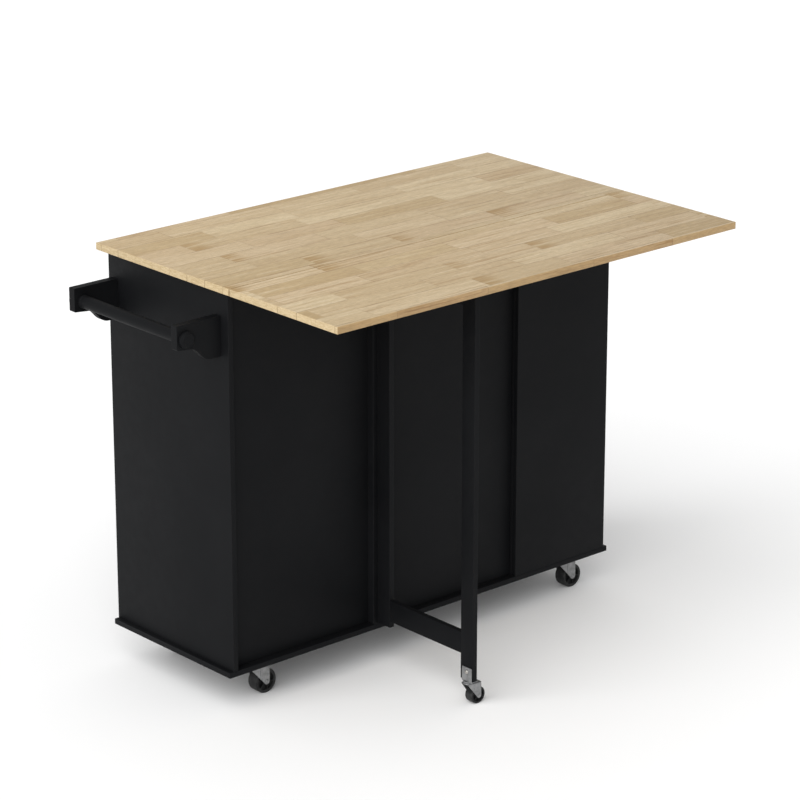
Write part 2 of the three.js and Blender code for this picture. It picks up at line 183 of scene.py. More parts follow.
def butcher_block():
    """Oiled strips 57 mm wide along X, each of short staves glued end to end."""
    strip_width, stave_length = 56.9 * MM, 262 * MM
    strips_from = 2.0255  # metres before Y = 0 at which the count of strips starts
    light, warm, brown = (0.565, 0.452, 0.286, 1), (0.478, 0.362, 0.214, 1), (0.370, 0.252, 0.112, 1)
    rosy, figured, streaked = (0.505, 0.372, 0.236, 1), (0.405, 0.290, 0.150, 1), (0.365, 0.246, 0.124, 1)
    pale, veined, fibrous = (0.640, 0.530, 0.362, 1), (0.262, 0.158, 0.076, 1), (0.335, 0.232, 0.118, 1)
    pore, scorched, glue = (0.195, 0.125, 0.060, 1), (0.330, 0.205, 0.076, 1), (0.175, 0.098, 0.045, 1)
    end_light, end_dark = (0.530, 0.415, 0.250, 1), (0.430, 0.322, 0.175, 1)
    end_speck, end_glue = (0.25, 0.17, 0.08, 1), (0.18, 0.115, 0.055, 1)
    painted_edge_shade = (0.80, 0.70, 0.56, 1)

    # Each stave draws its own tone and hue, and some are odd ones. No two staves show the same grain.
    g = Graph("butcher_block", Coat_Weight=0.05, Coat_Roughness=0.35, Specular_IOR_Level=0.32)
    x, y, _ = g.split(g.place())
    across = g.calc("DIVIDE", g.calc("ADD", y, strips_from), strip_width)
    strip = g.calc("FLOOR", across)
    strip_luck = g.chance(g.pack(strip, 3.7, 9.1)).outputs["Value"]
    start = g.calc("MULTIPLY", strip_luck, 17.3)
    along = g.calc("ADD", g.calc("DIVIDE", x, stave_length), start)
    wander = g.calc("SINE", g.calc("MULTIPLY_ADD", along, 2.9, g.calc("MULTIPLY", start, 5.0)))
    along = g.calc("MULTIPLY_ADD", wander, 0.075, along)
    stave = g.calc("FLOOR", along)
    luck = g.chance(g.pack(stave, strip, 1.3))
    tone, hue, odd = g.split(luck.outputs["Color"])
    shift = g.stretch(luck.outputs["Color"], (31.0, 17.0, 23.0))
    own = g.add("ShaderNodeVectorMath", {0: g.place(), 1: shift}, operation="ADD").outputs[0]

    # Grain from broad to fine, long in X: figure, streaks, veins, flecks, fibres and open pores.
    figure = g.noise(g.stretch(own, (2.6, 30, 30)), 1.0, 4, 0.55, 0.6)
    streak = g.noise(g.stretch(own, (5.0, 140, 140)), 1.0, 4, 0.64, 0.4)
    vein = g.noise(g.stretch(own, (3.4, 260, 260)), 1.0, 2, 0.55, 0.3)
    fleck = g.noise(g.stretch(own, (62, 430, 430)), 1.0, 3, 0.6)
    fibre = g.noise(g.stretch(own, (26, 1300, 1300)), 1.0, 3, 0.65)
    dash = g.fit(g.noise(g.stretch(own, (95, 1900, 1900)), 1.0, 1, 0.4), 0.66, 0.76)

    colour = g.blend(g.fit(tone, 0.0, 1.0), light, warm)
    colour = g.blend(g.fit(odd, 0.80, 0.92, 0.0, 0.60), colour, brown)
    colour = g.blend(g.fit(hue, 0.45, 0.95, 0.0, 0.42), colour, rosy)
    colour = g.blend(g.fit(figure, 0.40, 0.72, 0.0, 0.45), colour, figured)
    rich = g.fit(hue, 0.0, 0.9, 0.45, 0.95)
    colour = g.blend(g.calc("MULTIPLY", g.fit(streak, 0.52, 0.68), rich), colour, streaked)
    colour = g.blend(g.fit(streak, 0.47, 0.30, 0.0, 0.50), colour, pale)
    colour = g.blend(g.fit(vein, 0.65, 0.72, 0.0, 0.62), colour, veined)
    colour = g.blend(1.0, colour, g.fit(fleck, 0.28, 0.72, 0.87, 1.13), "MULTIPLY")
    colour = g.blend(g.fit(fibre, 0.46, 0.70, 0.0, 0.34), colour, fibrous)
    colour = g.blend(g.calc("MULTIPLY", dash, 0.42), colour, pore)

    # Where two strips or two staves meet: a dark glue line that comes and goes, and a smudge at some ends.
    side = g.calc("PINGPONG", across, 0.5)
    end = g.calc("PINGPONG", along, 0.5)
    patchy = g.noise(g.stretch(g.place(), (9, 14, 14)), 1.0, 2)
    side_line = g.calc("MULTIPLY", g.fit(side, 0.018, 0.004), g.fit(patchy, 0.44, 0.58, 0.20, 0.95))
    end_line = g.calc("MULTIPLY", g.fit(end, 0.0032, 0.0008), g.fit(hue, 0.2, 0.8, 0.25, 0.8))
    line = g.calc("MAXIMUM", side_line, end_line)
    inside = g.calc("FRACT", along)
    smudge = g.calc("MULTIPLY", g.fit(inside, 0.24, 0.04), g.fit(odd, 0.17, 0.12))
    smudge = g.calc("MULTIPLY", smudge, g.fit(streak, 0.42, 0.56, 0.10, 0.80))
    colour = g.blend(smudge, colour, scorched)
    colour = g.blend(line, colour, glue)

    # End grain on the two ends of the top, and painted shade that darkens its two long edges.
    nx, ny, _ = (g.calc("ABSOLUTE", n) for n in g.split(g.normal()))
    rings = g.noise(g.stretch(own, (1, 60, 240)), 1.0, 2, 0.5, 1.5)
    end_grain = g.blend(g.fit(rings, 0.35, 0.65), end_light, end_dark)
    speck = g.fit(g.noise(g.stretch(own, (1, 1500, 1500)), 1.0, 2), 0.56, 0.70, 0.0, 0.35)
    end_grain = g.blend(speck, end_grain, end_speck)
    end_grain = g.blend(side_line, end_grain, end_glue)
    colour = g.blend(g.fit(nx, 0.6, 0.8), colour, end_grain)
    # Painted shade: the faces along the two long edges are multiplied darker, as if less lit.
    colour = g.blend(g.fit(ny, 0.6, 0.8), colour, g.blend(1.0, colour, painted_edge_shade, "MULTIPLY"))

    rough = g.calc("ADD", g.fit(fibre, 0.3, 0.7, 0.46, 0.60), g.calc("MULTIPLY", patchy, 0.08))
    height = g.calc("SUBTRACT", g.calc("MULTIPLY", fibre, 0.35), g.calc("MULTIPLY", dash, 0.8))
    fine = g.bump(height, 0.28, 0.12 * MM)
    seams = g.bump(g.calc("SUBTRACT", 1.0, line), 0.5, 0.25 * MM, fine)
    return g.shade(Base_Color=colour, Roughness=rough, Normal=seams)


def painted_board():
    """Satin black lacquer on fibreboard: faint orange peel, soft cloudy sheen, edges lighter from slight
    rubbing and a painted highlight.
    """
    dark, less_dark = (0.0046, 0.0049, 0.0056, 1), (0.0068, 0.0071, 0.0079, 1)
    mottled = (0.0080, 0.0082, 0.0089, 1)
    dusty, rubbed_and_highlit = (0.08, 0.08, 0.08, 1), (0.022, 0.0225, 0.024, 1)
    g = Graph("black_paint", Specular_IOR_Level=0.07)
    at = g.place()
    cloud = g.noise(at, 3.2, 3, 0.55)
    mottle = g.noise(at, 46, 3, 0.6)
    peel = g.noise(at, 900, 2, 0.5)
    dust = g.fit(g.noise(at, 1900, 1, 0.5), 0.70, 0.78)
    colour = g.blend(g.fit(cloud, 0.3, 0.7), dark, less_dark)
    colour = g.blend(g.fit(mottle, 0.35, 0.7, 0.0, 0.25), colour, mottled)
    colour = g.blend(g.calc("MULTIPLY", dust, 0.06), colour, dusty)
    # Rubbed wear and painted highlight: a lighter colour along the eased edges, broken up by noise.
    rub_and_highlight = g.calc("MULTIPLY", g.edges(1.6 * MM), g.fit(g.noise(at, 60, 4, 0.65), 0.42, 0.66, 0.15, 0.55))
    colour = g.blend(rub_and_highlight, colour, rubbed_and_highlit)
    rough = g.calc("ADD", g.fit(mottle, 0.3, 0.7, 0.48, 0.55), g.calc("MULTIPLY", cloud, 0.06))
    grained = g.bump(mottle, 0.05, 0.25 * MM)
    return g.shade(Base_Color=colour, Roughness=rough, Normal=g.bump(peel, 0.16, 0.05 * MM, grained))


def drawer_board():
    """Dark grey foil over particle board, with a printed straight grain."""
    dark, grey, printed = (0.034, 0.033, 0.032, 1), (0.055, 0.053, 0.050, 1), (0.020, 0.0195, 0.019, 1)
    rubbed_and_highlit = (0.11, 0.105, 0.10, 1)
    g = Graph("drawer_board", Specular_IOR_Level=0.3)
    at = g.place()
    grain = g.noise(g.stretch(at, (90, 8, 420)), 1.0, 3, 0.6)
    broad = g.noise(g.stretch(at, (9, 3, 26)), 1.0, 3, 0.55, 0.5)
    colour = g.blend(g.fit(broad, 0.3, 0.7), dark, grey)
    colour = g.blend(g.fit(grain, 0.45, 0.72, 0.0, 0.6), colour, printed)
    # Rubbed wear and painted highlight: a lighter colour along the eased edges.
    colour = g.blend(g.calc("MULTIPLY", g.edges(1.2 * MM), 0.4), colour, rubbed_and_highlit)
    rough = g.fit(grain, 0.3, 0.7, 0.52, 0.66)
    return g.shade(Base_Color=colour, Roughness=rough, Normal=g.bump(grain, 0.25, 0.10 * MM))


def zinc_plate():
    """Bright zinc on pressed steel: faint spangle, roll marks, and dulled patches."""
    bright, dull = (0.315, 0.317, 0.320, 1), (0.205, 0.206, 0.208, 1)
    flaked, scratched = (0.38, 0.383, 0.385, 1), (0.13, 0.133, 0.136, 1)
    g = Graph("zinc", Metallic=0.92)
    at = g.place()
    flake = g.split(g.cells(at, 260).outputs["Color"])[0]
    cloud = g.noise(at, 75, 4, 0.6)
    scratch = g.noise(g.stretch(at, (1500, 120, 160)), 1.0, 2, 0.6)
    colour = g.blend(g.fit(cloud, 0.3, 0.7), bright, dull)
    colour = g.blend(g.calc("MULTIPLY", flake, 0.22), colour, flaked)
    colour = g.blend(g.fit(scratch, 0.60, 0.72, 0.0, 0.4), colour, scratched)
    rough = g.calc("ADD", g.fit(cloud, 0.3, 0.7, 0.34, 0.52), g.calc("MULTIPLY", flake, 0.07))
    return g.shade(Base_Color=colour, Roughness=rough, Normal=g.bump(scratch, 0.18, 0.04 * MM))


def satin_nickel():
    """Turned and brushed nickel: fine rings round the piece's own axis."""
    bright, ringed, clouded = (0.62, 0.60, 0.565, 1), (0.46, 0.445, 0.42, 1), (0.36, 0.345, 0.32, 1)
    ring_scale = 5200
    g = Graph("nickel", Metallic=1.0)
    reach, z = g.reach()
    turning = g.pack(g.calc("MULTIPLY", reach, ring_scale), g.calc("MULTIPLY", z, ring_scale), 0.0)
    rings = g.noise(turning, 1.0, 2, 0.6)
    cloud = g.noise(g.place(), 120, 3)
    colour = g.blend(g.fit(rings, 0.3, 0.7), bright, ringed)
    colour = g.blend(g.fit(cloud, 0.45, 0.75, 0.0, 0.35), colour, clouded)
    rough = g.calc("ADD", g.fit(rings, 0.3, 0.7, 0.24, 0.34), g.calc("MULTIPLY", cloud, 0.08))
    return g.shade(Base_Color=colour, Roughness=rough, Normal=g.bump(rings, 0.14, 0.03 * MM))


def wheel_rubber():
    """Moulded black nylon with a grained tread that has picked up a little floor dust."""
    dark, less_dark = (0.0060, 0.0062, 0.0066, 1), (0.0115, 0.0118, 0.0122, 1)
    dusted = (0.050, 0.050, 0.049, 1)
    dust_starts, dust_full = 15.5 * MM, 18.5 * MM
    g = Graph("wheel_rubber", Specular_IOR_Level=0.2)
    at = g.place()
    grain = g.noise(at, 1500, 3, 0.6)
    cloud = g.noise(at, 90, 4, 0.6)
    reach, _ = g.reach()
    colour = g.blend(g.fit(cloud, 0.3, 0.7), dark, less_dark)
    dust = g.calc("MULTIPLY", g.fit(reach, dust_starts, dust_full), g.fit(cloud, 0.4, 0.65, 0.08, 0.42))
    colour = g.blend(dust, colour, dusted)
    rough = g.calc("ADD", g.fit(cloud, 0.3, 0.7, 0.40, 0.54), g.calc("MULTIPLY", dust, 0.25))
    return g.shade(Base_Color=colour, Roughness=rough, Normal=g.bump(grain, 0.22, 0.06 * MM))


MATERIALS = {
    "butcher_block": butcher_block(),
    "black_paint": painted_board(),
    "drawer_board": drawer_board(),
    "zinc": zinc_plate(),
    "nickel": satin_nickel(),
    "wheel_rubber": wheel_rubber(),
}

# ---------------------------------------------------------------- pieces


def smooth_faces():
    """A geometry node group that smooths every face, for the model's own nodes."""
    group = bpy.data.node_groups.new("smooth_faces", "GeometryNodeTree")
    for way in ("INPUT", "OUTPUT"):
        group.interface.new_socket("Geometry", in_out=way, socket_type="NodeSocketGeometry")
    start, smooth, end = (group.nodes.new(kind) for kind in (
        "NodeGroupInput", "GeometryNodeSetShadeSmooth", "NodeGroupOutput"))
    group.links.new(start.outputs[0], smooth.inputs[0])
    group.links.new(smooth.outputs[0], end.inputs[0])
    return group


SMOOTH = smooth_faces()


def round_edges(obj, width, segments=3):
    """Eases a node's sharp edges with a bevel."""
    bevel = obj.modifiers.new("edges", "BEVEL")
    bevel.width, bevel.segments = width, segments
    bevel.limit_method, bevel.angle_limit = "ANGLE", math.radians(SHARP_EDGE)
    bevel.harden_normals = True


def carried(name, slot, width, segments=3):
    """One of the model's own nodes, with its faces welded, its edges eased and a finish."""
    obj = nodes[name]
    obj.modifiers.new("weld", "WELD").merge_threshold = 1e-6
    flat = obj.modifiers.new("flat", "DECIMATE")
    flat.decimate_type, flat.angle_limit = "DISSOLVE", math.radians(1)
    obj.modifiers.new("smooth", "NODES").node_group = SMOOTH
    round_edges(obj, width, segments)
    obj.material_slots[0].material = MATERIALS[slot]


def piece(name, bm, slot, body, stands_for=(), origin=Matrix.Identity(4), smooth=SHARP_EDGE):
    """A new piece from mesh data given in its own frame, placed by origin and riding on a body."""
    bmesh.ops.recalc_face_normals(bm, faces=bm.faces)
    data = bpy.data.meshes.new(name)
    bm.to_mesh(data)
    bm.free()
    data.shade_smooth()
    data.set_sharp_from_angle(angle=math.radians(smooth))
    obj = bpy.data.objects.new(name, data)
    bpy.context.scene.collection.objects.link(obj)
    data.materials.append(MATERIALS[slot])
    even = obj.modifiers.new("even", "WEIGHTED_NORMAL")
    even.weight, even.keep_sharp = 100, True
    obj.matrix_world = origin
    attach(obj, body)
    if stands_for:
        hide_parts(*stands_for)
    return obj


def facing(at, direction):
    """A frame at a point with its Z along a direction."""
    return Matrix.Translation(at) @ direction.to_track_quat("Z", "Y").to_matrix().to_4x4()


def turned(profile, sides=64, bm=None, matrix=Matrix.Identity(4)):
    """A shape turned about Z from (radius, height) pairs. It closes at radius 0, or back on itself."""
    bm = bm or bmesh.new()
    rings = []
    for r, h in profile:
        count = sides if r > 0 else 1
        angles = [2 * math.pi * i / sides for i in range(count)]
        points = [Vector((r * math.cos(a), r * math.sin(a), h)) for a in angles]
        rings.append([bm.verts.new(matrix @ point) for point in points])
    pairs = list(zip(rings, rings[1:]))
    if profile[0][0] > 0:
        pairs.append((rings[-1], rings[0]))
    for low, high in pairs:
        for i in range(sides):
            j = (i + 1) % sides
            corners = [low[i % len(low)], low[j % len(low)], high[j % len(high)], high[i % len(high)]]
            unique = list(dict.fromkeys(corners))
            if len(unique) > 2:
                bm.faces.new(unique)
    return bm


def extruded(outline, low, high, bevel=0.0, segments=3, bm=None, matrix=Matrix.Identity(4)):
    """An outline in X and Y made solid between two heights, with both rims eased."""
    shape = bmesh.new()
    base = [shape.verts.new((x, y, low)) for x, y in outline]
    face = shape.faces.new(base)
    top = bmesh.ops.extrude_face_region(shape, geom=[face])["geom"]
    for v in top:
        if isinstance(v, bmesh.types.BMVert):
            v.co.z = high
    bmesh.ops.recalc_face_normals(shape, faces=shape.faces)
    if bevel:
        sharp = [e for e in shape.edges if e.calc_face_angle(0) > math.radians(SHARP_EDGE)]
        bmesh.ops.bevel(shape, geom=sharp, offset=bevel, segments=segments, affect="EDGES", profile=0.5)
    return merged(shape, bm, matrix)


def merged(shape, bm, matrix=Matrix.Identity(4)):
    """Adds one bmesh to another, placed by a matrix, and returns the whole."""
    if bm is None:
        shape.transform(matrix)
        return shape
    data = bpy.data.meshes.new("part")
    shape.to_mesh(data)
    shape.free()
    data.transform(matrix)
    bm.from_mesh(data)
    bpy.data.meshes.remove(data)
    return bm


def block(low, high, bevel, bm=None, matrix=Matrix.Identity(4)):
    """A box between two corners with eased edges."""
    outline = [(low[0], low[1]), (high[0], low[1]), (high[0], high[1]), (low[0], high[1])]
    return extruded(outline, low[2], high[2], bevel, 2, bm, matrix)


def carved(bm, *cutters):
    """What is left of a shape after closed cutters are taken from it."""
    linked = bpy.context.scene.collection.objects

    def temporary(shape):
        data = bpy.data.meshes.new("temporary")
        shape.to_mesh(data)
        shape.free()
        obj = bpy.data.objects.new("temporary", data)
        linked.link(obj)
        return obj

    kept = temporary(bm)
    tools = [temporary(c) for c in cutters]
    for tool in tools:
        cut = kept.modifiers.new("cut", "BOOLEAN")
        cut.operation, cut.solver, cut.object = "DIFFERENCE", "EXACT", tool
    depsgraph = bpy.context.evaluated_depsgraph_get()
    result = bmesh.new()
    result.from_mesh(kept.evaluated_get(depsgraph).to_mesh())
    for obj in [kept, *tools]:
        bpy.data.meshes.remove(obj.data)
    return result


def arc(cx, cy, r, start, end, steps=10):
    """Points on an arc, angles in degrees."""
    angles = [math.radians(start + (end - start) * i / steps) for i in range(steps + 1)]
    return [(cx + r * math.cos(a), cy + r * math.sin(a)) for a in angles]


def rounded(x0, x1, y0, y1, r, steps=6):
    """A rectangle with rounded corners."""
    return (arc(x1 - r, y1 - r, r, 0, 90, steps) + arc(x0 + r, y1 - r, r, 90, 180, steps)
            + arc(x0 + r, y0 + r, r, 180, 270, steps) + arc(x1 - r, y0 + r, r, 270, 360, steps))


def bezier(p0, p1, p2, p3, steps=14):
    """Points on a cubic curve, after its first."""
    points = []
    for i in range(1, steps + 1):
        t = i / steps
        a, b, c, d = (1 - t) ** 3, 3 * t * (1 - t) ** 2, 3 * t * t * (1 - t), t ** 3
        points.append(tuple(a * p0[k] + b * p1[k] + c * p2[k] + d * p3[k] for k in (0, 1)))
    return points


# ---------------------------------------------------------------- the top, boards and drawer boxes

for name in ("worktop", "drop_leaf"):
    carried(name, "butcher_block", width=0.7 * MM)

for name in ("base_board", "end_panel_left", "end_panel_right", "partition_left", "partition_right",
             "back_panel_left", "back_panel_middle", "back_panel_right", "front_top_rail", "rear_top_rail",
             "gate_hinge_batten", "shelf_left", "shelf_right", "gate_inner_post", "gate_outer_post",
             "gate_upper_rail", "gate_lower_rail"):
    carried(name, "black_paint", width=0.9 * MM)

for name in ("door_left", "door_right", "drawer_1_front", "drawer_2_front", "drawer_3_front"):
    carried(name, "black_paint", width=1.6 * MM, segments=4)

for name in ("drawer_1_box", "drawer_2_box", "drawer_3_box"):
    carried(name, "drawer_board", width=0.6 * MM, segments=2)

# ---------------------------------------------------------------- screws


def screw_head(radius, height):
    """A pan head with a cross recess, lying on the plane of its own origin."""
    sunk, skirt = 0.2 * MM, 0.35
    dome = [(radius * math.cos(a), height * (skirt + (1 - skirt) * math.sin(a)))
            for a in (math.radians(8 + 82 * i / 7) for i in range(7))]
    head = turned([(0, -sunk), (radius * 0.9, -sunk), (radius, 0), *dome, (0, height)], 28)
    narrow, long = radius * 0.15, radius * 0.62
    floor, above = height * 0.45, height * 2
    result = carved(head, block((-long, -narrow, floor), (long, narrow, above), 0),
                    block((-narrow, -long, floor), (narrow, long, above), 0))
    data = bpy.data.meshes.new("screw")
    result.to_mesh(data)
    result.free()
    return data


SCREWS = {"small": screw_head(2.6 * MM, 1.3 * MM), "large": screw_head(4.2 * MM, 2.1 * MM)}


def screws(name, size, places, direction, body, slot="zinc", turn=0.4):
    """Several screw heads facing one way, as one piece, each turned a little further than the last."""
    bm = bmesh.new()
    for i, at in enumerate(places):
        data = SCREWS[size].copy()
        data.transform(facing(at, direction) @ Matrix.Rotation(turn + 1.3 * i, 4, "Z"))
        bm.from_mesh(data)
        bpy.data.meshes.remove(data)
    return piece(name, bm, slot, body)


# ---------------------------------------------------------------- hinges

SEAT = 1.4 * MM  # from the wood to the underside of a screw head on a hinge leaf
SPREAD = 20 * MM  # from the middle of a hinge leaf to its screws

for i in (1, 2):
    for half, body in (("fixed", "cabinet"), ("moving", "leaf")):
        name = f"leaf_hinge_{i}_{half}"
        carried(name, "zinc", width=0.25 * MM, segments=2)
        low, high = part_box(name)
        middle = (low + high) / 2
        rows = [high.y - 6 * MM] if half == "fixed" else [low.y + 8 * MM, low.y + 8 * MM + 20 * MM]
        places = [Vector((middle.x + dx, y, high.z - SEAT)) for y in rows for dx in (-SPREAD, SPREAD)]
        screws(f"{name}_screws", "small", places, -Z, body)

for which in ("lower", "upper"):
    for half, body in (("fixed", "cabinet"), ("moving", "gate_leg")):
        name = f"gate_hinge_{which}_{half}"
        carried(name, "zinc", width=0.25 * MM, segments=2)
        low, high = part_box(name)
        middle = (low + high) / 2
        heights = [middle.z - SPREAD, middle.z + SPREAD]
        if half == "fixed":
            places = [Vector((high.x - 6 * MM, high.y - SEAT, z)) for z in heights]
            screws(f"{name}_screws", "small", places, -Y, body)
        else:
            places = [Vector((low.x + SEAT, low.y + 6 * MM, z)) for z in heights]
            screws(f"{name}_screws", "small", places, X, body)

# ---------------------------------------------------------------- the towel rail


def bracket(name):
    """A bracket board: deep at the cabinet, with an S-curve below that rises to its shallow outer end."""
    low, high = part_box(name)
    reach, deep, thickness = high.x - low.x, high.z - low.z, high.y - low.y
    shallow, fall = 51 * MM, 3 * MM
    r, top_r = 3 * MM, 1.5 * MM
    start, end = -24 * MM, -80 * MM
    middle = (start + end) / 2
    outline = [(0, 0)] + arc(-r, -deep + r, r, 360, 270, 5) + [(start, -deep)]
    outline += bezier((start, -deep), (middle, -deep), (middle, -shallow - fall), (end, -shallow - fall), 24)
    outline += arc(-reach + r, -shallow + r, r, 270, 180, 6)
    outline += arc(-reach + top_r, -top_r, top_r, 180, 90, 4)
    stand = Matrix.Translation((high.x, high.y, high.z)) @ Matrix.Rotation(math.radians(90), 4, "X")
    bm = extruded(outline, 0, thickness, 0.8 * MM, 3)
    return piece(name + "_board", bm, "black_paint", "cabinet", [name], stand)


def cap(name, direction):
    """A turned button over the bolt at the end of the bar, with a groove round its face."""
    low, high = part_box(name)
    r, thickness, lip = (high.x - low.x) / 2, high.y - low.y, 0.3 * MM
    centre = (low + high) / 2
    centre.y = low.y if direction.y > 0 else high.y
    shares = [(1, 0.62), (0.985, 0.70), (0.93, 0.77), (0.87, 0.79), (0.84, 0.83), (0.81, 0.92), (0.75, 0.98),
              (0.68, 1), (0, 1)]
    profile = [(0, 0), (r - lip, 0), (r, lip)] + [(r * across, thickness * out) for across, out in shares]
    return piece(name + "_button", turned(profile, 64), "black_paint", "cabinet", [name],
                 facing(centre, direction))


def towel_bar():
    """The bar, with a shallow collar where it meets each bracket."""
    low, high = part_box("towel_bar")
    r, length = (high.x - low.x) / 2, high.y - low.y
    lip, collar, step = 0.3 * MM, 5 * MM, 0.7 * MM
    half = [(0, 0), (r - lip, 0), (r, lip), (r, collar), (r - step, collar + step)]
    profile = half + [(radius, length - h) for radius, h in reversed(half)]
    centre = (low + high) / 2
    centre.y = low.y
    return piece("towel_bar_rod", turned(profile, 64), "black_paint", "cabinet", ["towel_bar"],
                 facing(centre, Y))


bracket("towel_bracket_near")
bracket("towel_bracket_far")
cap("towel_cap_near", -Y)
cap("towel_cap_far", Y)
towel_bar()

# ---------------------------------------------------------------- knobs


def knob(name, body):
    """A turned knob: a foot, a waisted neck and a domed head."""
    low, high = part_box(name)
    r, reach = (high.x - low.x) / 2, high.y - low.y
    centre = (low + high) / 2
    centre.y = low.y
    neck = [(0, 0), (0.57, 0), (0.60, 0.4), (0.58, 1.4), (0.47, 2.6), (0.40, 5.0), (0.41, 7.2), (0.50, 8.9),
            (0.70, 10.2)]
    widest_at, steps = 13.2 * MM, 13
    head = [(r * math.cos(a), widest_at + (reach - widest_at) * math.sin(a))
            for a in (math.radians(-28 + 118 * i / steps) for i in range(steps))]
    profile = [(share * r, height * MM) for share, height in neck] + head + [(0, reach)]
    return piece(name + "_turned", turned(profile, 64), "nickel", body, [name], facing(centre, Y))


for name in ("door_left", "door_right", "drawer_1", "drawer_2", "drawer_3"):
    knob(name + "_knob", name)

# ---------------------------------------------------------------- casters


def wheel(name, body):
    """A moulded wheel: a flat tread with eased edges, a deep web with six ribs, and a hub."""
    low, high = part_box(name)
    r, half = (high.z - low.z) / 2, (high.y - low.y) / 2
    rim = half - 0.5 * MM
    web = rim * 0.55
    bore = 0.14 * r
    eased = [(r - in_by * MM, -rim + down_by * MM)
             for in_by, down_by in ((1.5, 0), (0.8, 0.2), (0.3, 0.7), (0.1, 1.5))]
    side = [(bore, -half), (0.30 * r, -half), (0.33 * r, -half + 0.4 * MM), (0.34 * r, -web),
            (0.70 * r, -web), (0.735 * r, -web - 0.4 * MM), (0.76 * r, -rim + 0.5 * MM), (0.79 * r, -rim),
            *eased, (r, -rim * 0.5), (r, -0.3 * MM)]
    bm = turned(side + [(radius, -h) for radius, h in reversed(side)], 96)
    ribs, rib_half, rib_edge = 6, 0.9 * MM, 0.35 * MM
    for i in range(ribs):
        rib = Matrix.Rotation(math.radians(360 / ribs * i + 14), 4, "Z")
        for face in (1, -1):
            inner, outer = sorted((face * (web - 1 * MM), face * (rim - 1.2 * MM)))
            block((0.32 * r, -rib_half, inner), (0.755 * r, rib_half, outer), rib_edge, bm, rib)
    return piece(name + "_moulded", bm, "wheel_rubber", body, [name], facing((low + high) / 2, Y))


def fork(name, wheel_name, body, race_radius, sheet):
    """A pressed fork: a round crown, and two cheeks with the axle riveted through them.

    Each cheek bends inwards in front of a crease, which lies a race radius before the axle and is a groove
    on the outside.
    """
    low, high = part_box(name)
    wheel_low, wheel_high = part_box(wheel_name)
    axle = (wheel_low + wheel_high) / 2
    swivel = Vector((low.x + race_radius, axle.y, high.z))
    trail, drop, ear = axle.x - swivel.x, axle.z - swivel.z, high.x - axle.x
    inside = (wheel_high.y - wheel_low.y) / 2 + 0.5 * MM
    half = inside + sheet
    front, neck, back, corner = -0.8 * race_radius, race_radius * 0.3, trail + ear, 1.5 * MM
    crown = arc(0, 0, race_radius, 75, 285, 40)
    crown += [(neck, -half), (back - corner, -half), (back, -half + corner),
              (back, half - corner), (back - corner, half), (neck, half)]
    bm = extruded(crown, -sheet, 0, 0.5 * MM, 2)

    crease, groove, fold = trail - race_radius, 0.5 * sheet, math.tan(math.radians(7))
    slant = math.degrees(math.atan2(-sheet - drop, trail - front))
    cheek_top = -0.4 * MM
    cheek = [(back, cheek_top), (front, cheek_top), (front, -sheet - corner)]
    cheek += arc(trail, drop, ear, 270 - slant, 360, 14)
    rivet = ear * 0.66
    rivet_head = [(0, 0), (rivet, 0), (rivet, 0.5 * MM), (rivet * 0.92, 0.9 * MM), (rivet * 0.66, 0.95 * MM),
                  (rivet * 0.46, 0.15 * MM), (0, 0.1 * MM)]
    for side in (1, -1):
        plate = extruded(cheek, inside, half, 0.45 * MM, 2)
        for x in (crease - groove, crease, crease + groove):
            bmesh.ops.bisect_plane(plate, geom=plate.verts[:] + plate.edges[:] + plate.faces[:],
                                   plane_co=(x, 0, 0), plane_no=(1, 0, 0))
        for v in plate.verts:
            if v.co.x < crease:
                v.co.z -= (crease - v.co.x) * fold
            if abs(v.co.x - crease) < 0.1 * groove and v.co.z > inside + 0.6 * sheet:
                v.co.z -= 1.3 * groove
        merged(plate, bm, Matrix(((1, 0, 0, 0), (0, 0, side, 0), (0, 1, 0, 0), (0, 0, 0, 1))))
        turned(rivet_head, 40, bm, facing(Vector((trail, side * (half - 0.1 * MM), drop)), side * Y))
    axle_radius = 0.42 * ear
    turned([(0, -inside), (axle_radius, -inside), (axle_radius, inside), (0, inside)], 24, bm,
           facing(Vector((trail, 0, drop)), Y))
    return piece(name + "_pressed", bm, "zinc", body, [name], Matrix.Translation(swivel), smooth=20)


def swivel_head(bm, race_radius, race_height, sheet, level):
    """The ball race, the kingpin and its riveted end below a caster's plate, down from a level."""
    r, h = race_radius, race_height
    cup = [(0, 0), (0.97 * r, 0), (r, -0.12 * h), (r, -0.40 * h), (0.93 * r, -0.50 * h),
           (0.90 * r, -0.56 * h), (0.94 * r, -0.64 * h), (r, -0.72 * h), (r, -0.94 * h),
           (0.96 * r, -h), (0, -h)]
    turned([(radius, level + z) for radius, z in reversed(cup)], 64, bm)
    pin, pin_top = 0.24 * r, level - h + 0.3 * MM
    end = level - h - 2 * sheet - 0.6 * MM
    stub = [(0, end), (pin * 1.5, end), (pin * 1.8, end + 0.35 * sheet), (pin * 1.8, end + 0.8 * sheet),
            (pin * 1.6, end + sheet), (pin, end + sheet), (pin, pin_top), (0, pin_top)]
    turned(stub, 32, bm)


